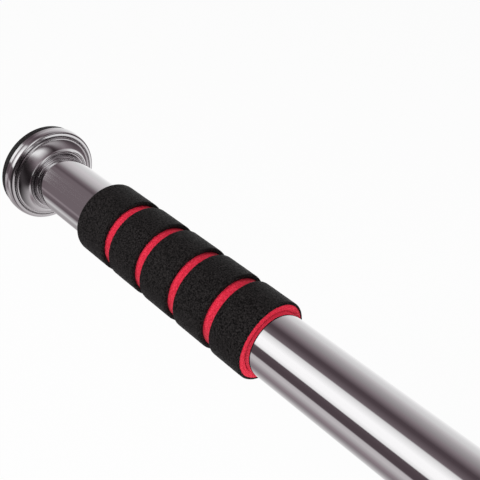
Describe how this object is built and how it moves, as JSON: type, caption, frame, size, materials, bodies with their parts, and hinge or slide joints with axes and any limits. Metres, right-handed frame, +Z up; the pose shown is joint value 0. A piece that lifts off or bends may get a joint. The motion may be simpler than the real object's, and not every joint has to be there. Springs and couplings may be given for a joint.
{
  "type": "pull up bar",
  "caption": "Telescopic doorway pull-up bar: chromed tubes, an inner lead screw that lengthens it, foam grips, and rubber-faced round end pads.",
  "frame": {"origin": "centre of the outer face of the swivelling rubber pad, end A, on the bar's axis", "axes": "+X along the bar from pad A to pad B, +Z up, +Y to the back"},
  "size_m": [0.62, 0.055, 0.055],
  "materials": {
    "chrome": "polished",
    "rubber": "matte",
    "black_foam": "matte",
    "red_foam": "matte",
    "zinc_steel": "satin",
    "turned_steel": "satin",
    "nylon": "satin",
    "black_plastic": "satin"
  },
  "bodies": {
    "end_a": {"rubber_pad_a": "rubber", "backing_plate_a": "zinc_steel", "rim_cover_a": "chrome", "thrust_washer": "nylon"},
    "main_tube": {"dish_collar_a": "chrome", "pivot_bolt": "zinc_steel", "end_plug_a": "turned_steel", "outer_tube": "chrome", "grip_core_a": "red_foam", "grip_bands_a": "black_foam", "grip_core_b": "red_foam", "grip_bands_b": "black_foam", "mouth_bush": "black_plastic", "lead_screw": "turned_steel", "stop_washer": "zinc_steel", "retaining_clip": "zinc_steel"},
    "glide": {"glide_ring": "nylon"},
    "slider": {"travelling_nut": "turned_steel", "inner_tube": "chrome", "end_plug_b": "turned_steel", "spacer_washer": "zinc_steel", "fixing_bolt": "zinc_steel", "dish_collar_b": "chrome", "rim_cover_b": "chrome", "backing_plate_b": "zinc_steel", "rubber_pad_b": "rubber"}
  },
  "joints": [
    {"name": "pad_swivel", "type": "hinge", "parent": "end_a", "child": "main_tube", "pos_m": [0.0095, 0, 0], "axis": [1, 0, 0], "continuous": true},
    {"name": "tube_slide", "type": "slide", "parent": "main_tube", "child": "glide", "axis": [1, 0, 0], "range_m": [0, 0.376]},
    {"name": "screw_turn", "type": "hinge", "parent": "glide", "child": "slider", "pos_m": [0.112, 0, 0], "axis": [1, 0, 0], "range_deg": [0, 16921]}
  ],
  "couplings": [
    {"joint": "screw_turn", "follows": "tube_slide", "rad_per_m": 785.4}
  ]
}
